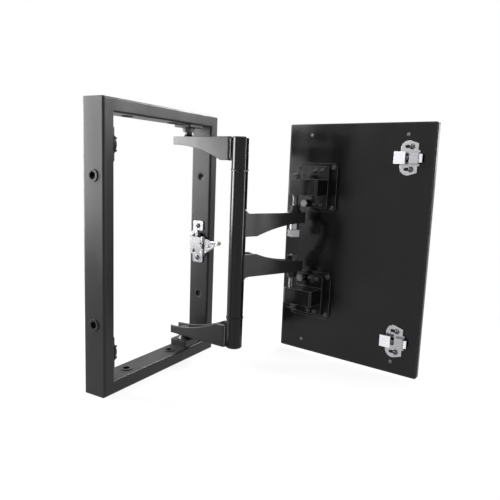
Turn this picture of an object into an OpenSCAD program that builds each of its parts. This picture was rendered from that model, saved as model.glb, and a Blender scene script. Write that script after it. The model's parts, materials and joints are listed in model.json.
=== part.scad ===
// Concealed access panel: a tube frame and a clad panel hung on a double-jointed hinge, shown open.
// The origin is the middle of the frame's underside, at half depth. +Z is up and -Y is the room side.

/* [Frame] */
// Width over the two stiles
frame_w = 270; // [230:5:360]
// Height over the two rails
frame_h = 420; // [400:5:560]
// Depth of the rectangular tube
tube_d = 40; // [36:1:50]
// Face width of the rectangular tube
tube_t = 20; // [16:1:26]
// Wall of the rectangular tube
tube_wall = 2; // [1.5:0.25:3]
// Outer corner radius of the tube
tube_r = 3; // [2:0.5:4]

/* [Anchors] */
// Distance between the two anchor holes of a stile
stile_anchor_gap = 210; // [160:5:230]
// Distance between the two anchor holes of a rail
rail_anchor_gap = 104; // [70:2:110]
// Shift of a rail's anchor holes away from the hinge side
rail_anchor_shift = 18; // [14:1:24]
// Bore of an anchor sleeve
anchor_bore = 11; // [8:0.5:12]
// Wall of an anchor sleeve
sleeve_wall = 1.2; // [0.8:0.1:2]
// Width of the collar around the sleeve
collar_rim = 2.2; // [1.5:0.1:3]
// Thickness of the collar
collar_t = 1.2; // [0.8:0.1:2]

/* [Frame pivots] */
// Distance of the frame pivot from the hinge stile's inner face
pivot_inset = 38; // [36:1:46]
// Gap between a rail's inner face and the frame arm
rail_gap = 19; // [18:0.5:26]
// Diameter of the pivot pins
pin_d = 10; // [8:0.5:11]
// Width of the pivot plates along the rails
plate_w = 38; // [32:1:44]
// Thickness of the upper pivot plate
plate_t = 4; // [3:0.5:5]
// Height of the lower pivot block
block_foot_h = 11; // [9:0.5:12]
// Thickness of the lock nuts
nut_t = 7; // [6:0.5:8]
// Width of the lock nuts across their flats
nut_af = 17; // [16:0.5:19]

/* [Hinge arms] */
// Length of the frame arms from pivot to post
link_len = 110; // [100:1:125]
// Direction of the frame arms in the open pose
link_angle = -95.5; // [-100:0.5:-90]
// Length of the panel arms from post to pivot
arm_len = 119; // [110:1:130]
// Direction of the panel arms in the open pose
arm_angle = -23.5; // [-30:0.5:-18]
// Outside width of the channel-shaped arms
arm_w = 26; // [24:0.5:27]
// Thickness of an arm's web
arm_web = 5; // [4:0.5:6]
// Thickness of an arm's two cheeks
arm_cheek = 3.5; // [3:0.25:4]
// Height of an arm where it meets the post
arm_root_h = 37; // [32:1:40]
// Height of a frame arm at its tip
link_tip_h = 13; // [11:0.5:15]
// Height of a panel arm at its tip
arm_tip_h = 18; // [16:0.5:21]
// Length of a frame arm past its pivot
link_tip_ext = 25; // [18:1:25]
// Length of a panel arm past its pivot
arm_tip_ext = 16; // [14:1:18]
// Corner radius of an arm's tip, seen from above
arm_tip_r = 5; // [4:0.5:8]
// Straight stretch of an arm's curved edge beside the post
arm_root_flat = 30; // [22:1:36]
// Radius of the fillet between a panel arm's straight edge and the post
root_fillet = 7; // [4:0.5:9]
// Height of the panel arms' straight edges from mid height
arm_edge_z = 51.5; // [48:0.5:56]

/* [Post] */
// Diameter of the post
post_d = 27; // [27:0.5:32]
// Height of the post's upper and lower stubs
stub_h = 50; // [46:1:56]
// Wall of the post's middle tube
post_wall = 3; // [2.5:0.25:4]
// Diameter of the spindle inside the post
spindle_d = 12; // [10:0.5:14]
// How far the thrust washers stand proud of the post
washer_proud = 0.8; // [0.4:0.1:1.5]
// Thickness of the thrust washers
washer_t = 2.4; // [1.5:0.1:3]
// Length of the bushes inside the post's tube
post_bush_l = 24; // [15:1:30]

/* [Panel] */
// Margin between the panel's edge and the frame's at the sides
panel_side = 4; // [2:0.5:6]
// Margin between the panel's edge and the frame's at the top and bottom
panel_end = 7; // [4:0.5:9]
// Thickness of the panel
panel_t = 10; // [9:0.5:14]
// Thickness of the panel's sheet metal
sheet_t = 1.2; // [0.8:0.1:1.5]
// Direction of the panel in the open pose, from hinge edge to free edge
panel_angle = -96.7; // [-102:0.5:-92]
// Radius of the panel's folded edges
fold_r = 2; // [1.5:0.25:3]
// Radius of the panel's four corners
panel_corner_r = 4; // [3:0.5:5]
// Distance of the panel's corner rivets from the top and bottom edges
rivet_z = 19; // [14:1:26]
// Distance of the panel's corner rivets from the side edges
rivet_x = 45; // [40:1:48]
// Diameter of the rivets
rivet_d = 6; // [4:0.5:7]

/* [Panel hinges] */
// Distance of the panel pivot from the hinge edge
hinge_inset = 40; // [38:0.5:44]
// Distance of the panel pivot behind the panel's back
hinge_standoff = 37; // [34:0.5:42]
// Height of the hinge brackets' centres from mid height
bracket_z = 95; // [93:0.5:100]
// Width of a bracket's base plate
base_w = 80; // [76:1:90]
// Height of a bracket's base plate
base_h = 83; // [80:1:86]
// Thickness of a bracket's base plate
base_t = 4; // [3:0.5:5]
// Distance of the base plate from the panel's hinge edge
base_inset = 20; // [18:0.5:22]
// Width of the hinge block
block_w = 56; // [52:1:62]
// Height of the hinge block
block_h = 27; // [24:0.5:30]
// Distance of the hinge block's face past the pivot
block_nose = 9.5; // [8.5:0.25:11]
// Thickness of the hinge block's flange
flange_t = 5; // [4:0.5:6]
// How far the upper stud's spacer hangs below the arm
stud_drop = 12; // [8:1:16]
// Thickness of the tall nut on the upper stud
tall_nut_t = 12; // [9:0.5:13]
// Width of the tall nut across its flats
tall_nut_af = 20; // [18:0.5:21]

/* [Spring latch] */
// Height of the latch above the frame's underside
latch_z = 199; // [196:0.5:203]
// Thickness of the latch plate
latch_t = 2; // [1.5:0.25:2.5]
// Distance from the latch arm's pin to its ball tip
latch_reach = 33; // [30:0.5:34]
// Diameter of the latch arm's ball tip
ball_d = 9.5; // [8:0.5:10]
// Diameter of the latch arm's pin
latch_pin_d = 4; // [3:0.25:4.5]

/* [Keepers and strikes] */
// Distance of the keepers and strikes from the frame's top and bottom
strike_inset = 62; // [58:1:70]
// Distance of the strikes' centres from the panel's free edge
strike_edge = 41; // [39:0.5:43]
// Height of a strike's base plate
strike_h = 54; // [50:1:58]
// Width of a strike's base plate
strike_w = 28; // [26:1:30]
// Height of the sliding bolt's nose
bolt_h = 13; // [11:0.5:14]
// Thickness of the sliding bolt
bolt_t = 3; // [2:0.25:3.5]
// Height of the sliding bolt's thumb plate
thumb_h = 19; // [17:0.5:20]
// Width of the sliding bolt's thumb plate
thumb_w = 18; // [15:0.5:19]
// Thickness of the keeper's plate
keeper_t = 2; // [1.5:0.25:2.25]
// Height of the keeper's plate
keeper_h = 48; // [44:1:54]
// Reach of the keeper's jaws from the stile
jaw_reach = 7; // [6:0.5:9]
// Height of each keeper jaw
jaw_h = 4; // [3:0.5:5]

/* [Fits] */
// Radial clearance of the turning pins
run_gap = 0.05; // [0.02:0.01:0.08]
// Clearance between faces that turn or slide past each other
face_gap = 0.3; // [0.2:0.05:0.5]
// Clearance around parts that are fixed in a hole
seat_gap = 0.05; // [0.03:0.01:0.1]

/* [Hidden] */
$fn = 64;
eps = 0.01;
cut = 1;
in_x = frame_w/2 - tube_t;
mid_z = frame_h/2;
in_z = mid_z - tube_t;
sleeve_d = anchor_bore + 2*sleeve_wall;
collar_d = sleeve_d + 2*collar_rim;

pivot_x = in_x - pivot_inset;
link_edge_z = in_z - rail_gap;
post_x = pivot_x + link_len*cos(link_angle);
post_y = link_len*sin(link_angle);
hinge_x = post_x + arm_len*cos(arm_angle);
hinge_y = post_y + arm_len*sin(arm_angle);

link_root = 0.4*post_d;
bore_d = pin_d + 2*run_gap;
bush_wall = 2;
bush_d = bore_d + 2*bush_wall;
bush_flange_t = 1;
bush_flange_d = bush_d + 3;
head_d = pin_d + 6;
head_t = 6;
washer_d = post_d + 2*washer_proud;
stub_z = link_edge_z - stub_h;
tube_top_z = stub_z - washer_t - face_gap;
spindle_end = 3;
post_bush_d = post_d - 2*post_wall - 2*seat_gap;

panel_w = frame_w - 2*panel_side;
panel_h = frame_h - 2*panel_end;
back_y = -hinge_standoff;
panel_mid_x = hinge_inset - panel_w/2;
block_back = base_t + flange_t;
block_x1 = pin_d;
screw_d = 5;
screw_head_d = 9;
screw_head_t = 3;

base_mid_x = hinge_inset - base_inset - base_w/2;
base_edge = 7.2;
base_chamfer = 6;
base_hole_x = base_w/2 - base_edge;
base_hole_z = base_h/2 - base_edge;
head_space = 4;
flange_w = 2*base_hole_x - screw_head_d - head_space;
flange_h = base_h - 3*head_space;
flange_r = 3;
flange_bolt_x = -27;
flange_bolt_gap = 13;
flange_hole_z = (flange_h + block_h)/4 + head_space;
adjuster_x = -6;
adjuster_d = 12;
adjuster_h = 9;
stud_end = 2;
nut_clear = 2;
stud_top_z = bracket_z + block_h/2 + nut_t + stud_end;
collar_z = arm_edge_z + face_gap;
collar_flange_t = 3;
collar_rim_w = 2;

knuckle_d = 8;
knuckle_seat = 0.5;
latch_back_y = tube_d/2 - knuckle_seat;
latch_spine_w = 16.5;
latch_spine_h = 40;
latch_spine_z = -2;
latch_front_y = -7;
latch_front_h = 28;
latch_hinge_z = -5.5;
latch_ear_y = 2;
latch_ear_w = 21.5;
latch_ear_h = 17;
latch_top_ear_z = 29.5;
latch_low_ear_z = -28;
latch_edge_r = 3;
latch_neck_w = 10;
latch_screw_inset = 8.5;
latch_screw_z = latch_spine_h/2 - 6;
latch_hole_d = 3;
small_screw_d = 4;
small_head_d = 7;
small_head_t = 1.8;
latch_axis_x = in_x - knuckle_d/2 - knuckle_seat;
latch_axis_y = latch_front_y - knuckle_d/2;
latch_knuckle_z = 13.5;
latch_knuckle_h = 5;
arm_plate_t = 2.5;
arm_lip_t = 2;
arm_lip_w = 7;
arm_rod_d = 4.5;
arm_rod_l = 16;
ball_z = 2.6;
arm_flare_y = -knuckle_d/2 - 3*face_gap;
arm_low_tip = [-2.5, -25.5];
arm_low_root = [latch_hinge_z - latch_front_h/2 + knuckle_seat, arm_flare_y];
arm_top_root = [latch_hinge_z + latch_front_h/2 - knuckle_seat, arm_flare_y];

keeper_d = 20;
keeper_inset = 2;
keeper_y = keeper_inset - tube_d/2;
keeper_hole_z = keeper_h/2 - small_head_d;
keeper_edge_r = 3;
jaw_depth = 12;
jaw_clear = 0.5;
strike_z = mid_z - strike_inset;
strike_u = panel_w - strike_edge;
strike_t = 2;
strike_shoulder = 4.5;
strike_wing = 12;
bridge_x = -17;
bridge_w = 14;
bridge_wall = 1.5;
bolt_n = 5;
nose_x = -22;
thumb_x = 21;
thumb_t = 2;
thumb_rise = 3;
thumb_n = bolt_n + bolt_t + thumb_rise;
strike_hole_z = 17.5;
strike_screw_x = -4;
strike_slot_l = 8.5;
window_w = 8;
stem_h = 5;
stem_x = bridge_x + bridge_w - cut;

// Shared frames: the link, post and panel bodies, each drawn with Z measured from mid height
module at_level(level) {
    translate([0, 0, mid_z]) mirror([0, 0, level < 0 ? 1 : 0]) children();
}
module on_pivot() {
    translate([pivot_x, 0, 0]) children();
}
module on_link() {
    on_pivot() rotate(link_angle) children();
}
module on_post() {
    translate([post_x, post_y, 0]) rotate(arm_angle) children();
}
module on_panel() {
    translate([hinge_x, hinge_y, 0]) rotate(panel_angle + 180) children();
}

// Shared shapes
module rounded_rect(w, h, r) {
    square([w - 2*r, h], center = true);
    square([w, h - 2*r], center = true);
    for (x = [-1, 1], y = [-1, 1]) translate([x*(w/2 - r), y*(h/2 - r)]) circle(r);
}
module ring(d_out, d_in, h) {
    difference() {
        cylinder(d = d_out, h = h);
        translate([0, 0, -cut]) cylinder(d = d_in, h = h + 2*cut);
    }
}
module hex(af, h) {
    cylinder(d = af/cos(30), h = h, $fn = 6);
}
module cross_head(d, h) {
    slot_w = d/6;
    slot_l = d*0.62;
    dome_r = (d*d/4 + h*h)/(2*h);
    difference() {
        intersection() {
            cylinder(d = d, h = h);
            translate([0, 0, h - dome_r]) sphere(dome_r);
        }
        for (turn = [0, 90]) rotate(turn) translate([-slot_l/2, -slot_w/2, h/2]) cube([slot_l, slot_w, h]);
    }
}
module screw(d, head, head_h, grip) {
    cross_head(head, head_h);
    translate([0, 0, -grip]) cylinder(d = d, h = grip + eps);
}
module tube(l) {
    wall = 2*tube_wall;
    inner_r = max(tube_r - tube_wall, 0.5);
    linear_extrude(l) difference() {
        rounded_rect(tube_t, tube_d, tube_r);
        rounded_rect(tube_t - wall, tube_d - wall, inner_r);
    }
}
module mitre() {
    over = tube_t/2 + cut;
    rotate([90, 0, 0]) linear_extrude(tube_d + 2*cut, center = true)
        polygon([[-over, over], [over, -over], [over, over]]);
}
// A mitred length of tube along Z, its outer face towards -X
module member(l) {
    difference() {
        translate([0, 0, -l/2]) tube(l);
        for (end = [0, 1]) mirror([0, 0, end]) translate([0, 0, l/2 - tube_t/2]) mitre();
    }
}
module sleeve() {
    ring(sleeve_d, anchor_bore, tube_t);
    translate([0, 0, tube_t]) ring(collar_d, anchor_bore, collar_t);
}
module sleeve_hole() {
    translate([0, 0, -tube_t]) cylinder(d = sleeve_d + 2*seat_gap, h = 3*tube_t);
}

// Frame
module stile(side) {
    color([0.06, 0.06, 0.065]) at_level(1) difference() {
        mirror([side < 0 ? 0 : 1, 0, 0]) translate([-(frame_w - tube_t)/2, 0, 0]) member(frame_h);
        for (z = [-1, 1]) translate([side*(frame_w/2 - tube_t), 0, z*stile_anchor_gap/2])
            rotate([0, side*90, 0]) sleeve_hole();
    }
}
module left_stile() {
    stile(-1);
}
module right_stile() {
    stile(1);
}
module rail(level) {
    color([0.06, 0.06, 0.065]) at_level(level) difference() {
        translate([0, 0, mid_z - tube_t/2]) rotate([0, 90, 0]) member(frame_w);
        for (x = [-1, 1]) translate([x*rail_anchor_gap/2 - rail_anchor_shift, 0, in_z]) sleeve_hole();
    }
}
module top_rail() {
    rail(1);
}
module bottom_rail() {
    rail(-1);
}
module stile_sleeves() {
    color([0.03, 0.03, 0.03]) at_level(1)
        for (side = [-1, 1], z = [-1, 1]) translate([side*in_x, 0, z*stile_anchor_gap/2])
            rotate([0, side*90, 0]) sleeve();
}
module rail_sleeves() {
    color([0.03, 0.03, 0.03])
        for (level = [-1, 1], x = [-1, 1]) at_level(level)
            translate([x*rail_anchor_gap/2 - rail_anchor_shift, 0, mid_z]) rotate([180, 0, 0]) sleeve();
}

// Frame pivots
module upper_pivot_plate() {
    color([0.05, 0.05, 0.05]) at_level(1) on_pivot() difference() {
        translate([0, 0, in_z - plate_t]) linear_extrude(plate_t)
            rounded_rect(plate_w, tube_d - 2*tube_r, tube_r);
        translate([0, 0, in_z - plate_t - cut]) cylinder(d = pin_d + 2*seat_gap, h = plate_t + 2*cut);
    }
}
module lower_pivot_block() {
    boss_h = rail_gap - block_foot_h - face_gap;
    color([0.05, 0.05, 0.05]) at_level(-1) on_pivot() difference() {
        union() {
            translate([0, 0, in_z - block_foot_h]) linear_extrude(block_foot_h)
                rounded_rect(plate_w, tube_d - 2*tube_r, tube_r);
            translate([0, 0, link_edge_z + face_gap])
                cylinder(d1 = bush_flange_d, d2 = nut_af*1.5, h = boss_h);
        }
        translate([0, 0, link_edge_z]) cylinder(d = pin_d + 2*seat_gap, h = rail_gap + cut);
    }
}
module pivot_pin() {
    web_in_z = link_edge_z - arm_web - bush_flange_t - face_gap;
    on_pivot() {
        translate([0, 0, web_in_z - head_t]) cylinder(d = head_d, h = head_t);
        translate([0, 0, web_in_z - eps]) cylinder(d = pin_d, h = in_z - web_in_z);
    }
}
module upper_pivot_pin() {
    color([0.08, 0.08, 0.08]) at_level(1) pivot_pin();
}
module lower_pivot_pin() {
    color([0.08, 0.08, 0.08]) at_level(-1) pivot_pin();
}
module pivot_lock_nut() {
    flange_d = nut_af*1.3;
    nut_flange_t = 1.5;
    color([0.62, 0.62, 0.6]) at_level(1) on_pivot() translate([0, 0, in_z - plate_t - nut_t]) difference() {
        union() {
            hex(nut_af, nut_t);
            translate([0, 0, nut_t - nut_flange_t]) cylinder(d = flange_d, h = nut_flange_t);
        }
        translate([0, 0, -cut]) cylinder(d = pin_d + 2*seat_gap, h = nut_t + 2*cut);
    }
}
module pivot_cones() {
    cone_h = rail_gap - plate_t - nut_t - face_gap;
    color([0.05, 0.05, 0.05]) at_level(1) on_pivot() translate([0, 0, link_edge_z + face_gap]) difference() {
        union() {
            cylinder(d1 = bush_flange_d, d2 = pin_d + bush_wall, h = cone_h/2);
            translate([0, 0, cone_h/2 - eps]) cylinder(d = pin_d + bush_wall, h = cone_h/2 + eps);
        }
        translate([0, 0, -cut]) cylinder(d = pin_d + 2*seat_gap, h = cone_h + 2*cut);
    }
}

// Channel-shaped arm along X from root, its web on top at Z 0 and its lower edge an arc; the post is at X 0
module arm_side(l, tip_h) {
    drop = arm_root_h - tip_h;
    span = l - arm_root_flat;
    arc_r = (span*span + drop*drop)/(2*drop);
    difference() {
        translate([0, -arm_root_h]) square([l, arm_root_h]);
        translate([l, -tip_h - arc_r]) circle(arc_r, $fn = 256);
    }
}
module channel_arm(len, ext, tip_h, root) {
    l = len + ext;
    inner_w = arm_w - 2*arm_cheek;
    difference() {
        intersection() {
            rotate([90, 0, 0]) linear_extrude(arm_w, center = true) arm_side(l, tip_h);
            translate([0, 0, -arm_root_h]) linear_extrude(arm_root_h) translate([(l + root)/2, 0])
                rounded_rect(l - root, arm_w, arm_tip_r);
        }
        translate([0, -inner_w/2, -arm_web - arm_root_h]) cube([l + cut, inner_w, arm_root_h]);
        translate([0, 0, -arm_root_h - cut]) cylinder(d = post_d, h = arm_root_h + 2*cut);
    }
}

// Link body: frame arms, post stubs and spindle
module frame_arm() {
    difference() {
        on_link() translate([link_len, 0, link_edge_z]) rotate(180)
            channel_arm(link_len, link_tip_ext, link_tip_h, link_root);
        on_pivot() translate([0, 0, link_edge_z - arm_web - cut])
            cylinder(d = bush_d + 2*seat_gap, h = arm_web + 2*cut);
    }
}
module upper_frame_arm() {
    color([0.07, 0.07, 0.075]) at_level(1) frame_arm();
}
module lower_frame_arm() {
    color([0.07, 0.07, 0.075]) at_level(-1) frame_arm();
}
module pivot_bushes() {
    color([0.55, 0.42, 0.22]) for (level = [-1, 1]) at_level(level) on_pivot()
        translate([0, 0, link_edge_z - arm_web - bush_flange_t]) {
            ring(bush_flange_d, bore_d, bush_flange_t);
            ring(bush_d, bore_d, arm_web + bush_flange_t);
        }
}
module post_stub() {
    edge = 1.5;
    bore_h = stub_h - spindle_end;
    on_post() translate([0, 0, stub_z]) rotate_extrude() polygon([
        [spindle_d/2 + seat_gap, 0], [post_d/2, 0], [post_d/2, stub_h - edge], [post_d/2 - edge, stub_h],
        [0, stub_h], [0, bore_h], [spindle_d/2 + seat_gap, bore_h]
    ]);
}
module upper_post_stub() {
    color([0.06, 0.06, 0.065]) at_level(1) post_stub();
}
module lower_post_stub() {
    color([0.06, 0.06, 0.065]) at_level(-1) post_stub();
}
module post_spindle() {
    half = stub_z + stub_h - spindle_end;
    color([0.6, 0.6, 0.6]) at_level(1) on_post() translate([0, 0, -half]) cylinder(d = spindle_d, h = 2*half);
}
module thrust_washers() {
    color([0.12, 0.12, 0.12]) for (level = [-1, 1]) at_level(level) on_post()
        translate([0, 0, stub_z - washer_t]) ring(washer_d, spindle_d + 2*run_gap, washer_t);
}

// Post body: tube, bushes and panel arms
module post_tube() {
    color([0.06, 0.06, 0.065]) at_level(1) on_post() translate([0, 0, -tube_top_z])
        ring(post_d, post_d - 2*post_wall, 2*tube_top_z);
}
module post_bushes() {
    color([0.55, 0.42, 0.22]) for (level = [-1, 1]) at_level(level) on_post()
        translate([0, 0, tube_top_z - post_bush_l]) ring(post_bush_d, spindle_d + 2*run_gap, post_bush_l);
}
module panel_arm() {
    on_post() translate([0, 0, arm_edge_z]) {
        difference() {
            channel_arm(arm_len, arm_tip_ext, arm_tip_h, -2*arm_tip_r);
            translate([arm_len, 0, -arm_web - cut]) cylinder(d = bore_d, h = arm_web + 2*cut);
        }
        intersection() {
            rotate_extrude() translate([post_d/2, -eps]) difference() {
                square(root_fillet);
                translate([root_fillet, root_fillet]) circle(root_fillet);
            }
            translate([0, -arm_w/2, -cut]) cube([post_d, arm_w, root_fillet + cut]);
        }
    }
}
module upper_panel_arm() {
    color([0.07, 0.07, 0.075]) at_level(1) panel_arm();
}
module lower_panel_arm() {
    color([0.07, 0.07, 0.075]) at_level(-1) panel_arm();
}

// Panel body, drawn in its closed direction around the panel pivot
module panel_tray() {
    color([0.05, 0.05, 0.055]) at_level(1) on_panel() difference() {
        translate([panel_mid_x, back_y - panel_t/2, 0]) intersection() {
            translate([0, 0, -panel_h/2]) linear_extrude(panel_h) rounded_rect(panel_w, panel_t, fold_r);
            translate([0, -panel_t/2, 0]) back_plate(panel_w, panel_h, panel_t, panel_corner_r);
        }
        translate([panel_mid_x - panel_w/2 + fold_r, back_y - panel_t + sheet_t, -panel_h/2 + sheet_t])
            cube([panel_w - 2*fold_r, panel_t, panel_h - 2*sheet_t]);
    }
}
module panel_lining(t, y) {
    lining_w = panel_w - 2*fold_r - 2*seat_gap;
    lining_h = panel_h - 2*sheet_t - 2*seat_gap;
    at_level(1) on_panel() translate([panel_mid_x - lining_w/2, y, -lining_h/2])
        cube([lining_w, t, lining_h]);
}
module panel_back() {
    color([0.03, 0.03, 0.035]) panel_lining(sheet_t, back_y - sheet_t);
}
module panel_core() {
    color([0.6, 0.58, 0.54]) panel_lining(panel_t - 2*sheet_t, back_y - panel_t + sheet_t);
}
module panel_rivets() {
    color([0.1, 0.1, 0.1]) at_level(1) on_panel()
        for (x = [-1, 1], z = [-1, 1])
            translate([panel_mid_x + x*(panel_w/2 - rivet_x), back_y, z*(panel_h/2 - rivet_z)])
                rotate([-90, 0, 0]) cross_head(rivet_d, rivet_d/4);
}

// Panel hinge brackets
module on_bracket() {
    on_panel() translate([0, back_y, bracket_z]) children();
}
module back_plate(w, h, t, r) {
    rotate([-90, 0, 0]) linear_extrude(t) rounded_rect(w, h, r);
}
module base_spots() {
    for (x = [-1, 1], z = [-1, 1]) translate([base_mid_x + x*base_hole_x, 0, z*base_hole_z]) children();
}
module flange_spots() {
    for (x = [-1, 1], z = [-1, 1])
        translate([flange_bolt_x + x*flange_bolt_gap/2, 0, z*flange_hole_z]) children();
}
module drill(d, t) {
    translate([0, -cut, 0]) rotate([-90, 0, 0]) cylinder(d = d, h = t + 2*cut);
}
module chamfered_rect(w, h, c) {
    polygon([
        [-w/2 + c, -h/2], [w/2 - c, -h/2], [w/2, -h/2 + c], [w/2, h/2 - c],
        [w/2 - c, h/2], [-w/2 + c, h/2], [-w/2, h/2 - c], [-w/2, -h/2 + c]
    ]);
}
module hinge_base() {
    on_bracket() difference() {
        translate([base_mid_x, 0, 0]) rotate([-90, 0, 0]) linear_extrude(base_t)
            chamfered_rect(base_w, base_h, base_chamfer);
        base_spots() drill(screw_d + 2*seat_gap, base_t);
    }
}
module upper_hinge_base() {
    color([0.05, 0.05, 0.05]) at_level(1) hinge_base();
}
module lower_hinge_base() {
    color([0.05, 0.05, 0.05]) at_level(-1) hinge_base();
}
module hinge_block() {
    reach = hinge_standoff + block_nose - base_t;
    on_bracket() translate([0, base_t, 0]) difference() {
        union() {
            translate([base_mid_x, 0, 0]) back_plate(flange_w, flange_h, flange_t, flange_r);
            translate([block_x1 - block_w/2, reach/2, -block_h/2]) linear_extrude(block_h)
                chamfered_rect(block_w, reach, flange_r);
        }
        flange_spots() drill(screw_d + 2*seat_gap, flange_t);
        translate([adjuster_x, 0, -flange_hole_z]) drill(screw_d + 2*seat_gap, flange_t);
        translate([0, hinge_standoff - base_t, -block_h/2 - cut])
            cylinder(d = pin_d + 2*seat_gap, h = block_h + 2*cut);
    }
}
module upper_hinge_block() {
    color([0.06, 0.06, 0.06]) at_level(1) hinge_block();
}
module lower_hinge_block() {
    color([0.06, 0.06, 0.06]) at_level(-1) hinge_block();
}
module hinge_screws() {
    color([0.09, 0.09, 0.09]) for (level = [-1, 1]) at_level(level) on_bracket() base_spots()
        translate([0, base_t, 0]) rotate([-90, 0, 0]) screw(screw_d, screw_head_d, screw_head_t, base_t);
}
module flange_bolts() {
    color([0.09, 0.09, 0.09]) for (level = [-1, 1]) at_level(level) on_bracket() flange_spots()
        translate([0, block_back, 0]) rotate([-90, 0, 0])
            screw(screw_d, screw_head_d, screw_head_t, flange_t);
}
module hinge_adjusters() {
    color([0.6, 0.6, 0.6]) for (level = [-1, 1]) at_level(level) on_bracket()
        translate([adjuster_x, block_back, -flange_hole_z]) rotate([-90, 0, 0]) {
            hex(adjuster_d, adjuster_h);
            translate([0, 0, -flange_t]) cylinder(d = screw_d, h = flange_t + eps);
        }
}
function spacer_l(level) = arm_tip_h - arm_web + (level > 0 ? stud_drop : nut_clear);
function spacer_z(level) = arm_edge_z - arm_web - face_gap - spacer_l(level);
module hinge_stud(level) {
    low_z = spacer_z(level) - (level > 0 ? tall_nut_t : nut_t) - stud_end;
    on_panel() translate([0, 0, low_z]) cylinder(d = pin_d, h = stud_top_z - low_z);
}
module upper_hinge_stud() {
    color([0.7, 0.7, 0.7]) at_level(1) hinge_stud(1);
}
module lower_hinge_stud() {
    color([0.7, 0.7, 0.7]) at_level(-1) hinge_stud(-1);
}
module stud_nut(z, af, h) {
    translate([0, 0, z]) difference() {
        hex(af, h);
        translate([0, 0, -cut]) cylinder(d = pin_d + 2*seat_gap, h = h + 2*cut);
    }
}
module stud_nuts() {
    color([0.7, 0.7, 0.7]) at_level(1) on_panel() stud_nut(spacer_z(1) - tall_nut_t, tall_nut_af, tall_nut_t);
}
// Black nuts: one on each hinge block and one under the lower arm
module block_nuts() {
    color([0.1, 0.1, 0.1]) {
        for (level = [-1, 1]) at_level(level) on_panel() stud_nut(bracket_z + block_h/2, nut_af, nut_t);
        at_level(-1) on_panel() stud_nut(spacer_z(-1) - nut_t, nut_af, nut_t);
    }
}
module stud_spacers() {
    color([0.75, 0.75, 0.75]) for (level = [-1, 1]) at_level(level) on_panel()
        translate([0, 0, spacer_z(level)]) ring(head_d, pin_d + 2*seat_gap, spacer_l(level));
}
module stud_collars() {
    sleeve_h = (bracket_z - block_h/2 - collar_z)/4;
    color([0.12, 0.12, 0.12]) for (level = [-1, 1]) at_level(level) on_panel() translate([0, 0, collar_z]) {
        ring(head_d + 2*collar_rim_w, pin_d + 2*seat_gap, collar_flange_t);
        ring(head_d, pin_d + 2*seat_gap, collar_flange_t + sleeve_h);
    }
}

// Spring latch on the hinge stile
module on_latch() {
    translate([0, 0, latch_z]) children();
}
// Places of the latch plate's screws: two in its ears and two along its back edge
module ear_spots() {
    for (z = [latch_top_ear_z, latch_low_ear_z]) translate([in_x - latch_t, latch_ear_y, z])
        rotate([0, -90, 0]) children();
}
module spine_spots() {
    for (z = [-1, 1])
        translate([in_x - latch_t, latch_back_y - latch_screw_inset, latch_spine_z + z*latch_screw_z])
            rotate([0, -90, 0]) children();
}
// A rounded pad of the latch plate, given by its centre and size along Z and Y
module latch_pad(z, y, h, w) {
    translate([z, y]) rounded_rect(h, w, latch_edge_r);
}
module latch_outline() {
    spine_y = latch_back_y - latch_spine_w/2;
    front_w = latch_spine_w;
    latch_pad(latch_spine_z, spine_y, latch_spine_h, latch_spine_w);
    latch_pad(latch_hinge_z, latch_front_y + front_w/2, latch_front_h, front_w);
    for (z = [latch_top_ear_z, latch_low_ear_z]) {
        latch_pad(z, latch_ear_y, latch_ear_h, latch_ear_w);
        latch_pad((z + latch_spine_z)/2, spine_y - (latch_spine_w - latch_neck_w)/2, abs(z), latch_neck_w);
    }
}
module latch_plate() {
    block = knuckle_d/2 + knuckle_seat;
    color([0.75, 0.75, 0.76]) on_latch() {
        difference() {
            translate([in_x, 0, 0]) rotate([0, -90, 0]) linear_extrude(latch_t) latch_outline();
            ear_spots() translate([0, 0, -latch_t - cut])
                cylinder(d = screw_d + 2*seat_gap, h = latch_t + 2*cut);
            spine_spots() translate([0, 0, -latch_t - cut])
                cylinder(d = small_screw_d + 2*seat_gap, h = latch_t + 2*cut);
            translate([in_x - latch_t - cut, latch_front_y + latch_edge_r, latch_hinge_z + latch_edge_r])
                rotate([0, 90, 0]) cylinder(d = latch_hole_d, h = latch_t + 2*cut);
        }
        for (z = [-1, 1])
            translate([latch_axis_x, latch_axis_y, latch_hinge_z + z*latch_knuckle_z - latch_knuckle_h/2])
                difference() {
                    union() {
                        cylinder(d = knuckle_d, h = latch_knuckle_h);
                        translate([block - latch_t, 0, 0])
                            cube([latch_t, knuckle_d/2 + latch_edge_r, latch_knuckle_h]);
                        cube([block, knuckle_d/2, latch_knuckle_h]);
                    }
                    translate([0, 0, -cut])
                        cylinder(d = latch_pin_d + 2*seat_gap, h = latch_knuckle_h + 2*cut);
                }
    }
}
module latch_pin() {
    half = latch_knuckle_z + latch_knuckle_h/2 + 1;
    color([0.6, 0.6, 0.6]) on_latch() translate([latch_axis_x, latch_axis_y, latch_hinge_z - half])
        cylinder(d = latch_pin_d, h = 2*half);
}
module latch_spring() {
    half = latch_knuckle_z - 1.5*latch_knuckle_h - 3*face_gap;
    color([0.5, 0.5, 0.5]) on_latch() translate([latch_axis_x, latch_axis_y, latch_hinge_z - half])
        ring(knuckle_d - 2*face_gap, latch_pin_d + 2*seat_gap, 2*half);
}
module latch_screws() {
    color([0.8, 0.8, 0.8]) on_latch() {
        ear_spots() screw(screw_d, screw_head_d, screw_head_t, latch_t);
        spine_spots() screw(small_screw_d, small_head_d, small_head_t, latch_t);
    }
}
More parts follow.
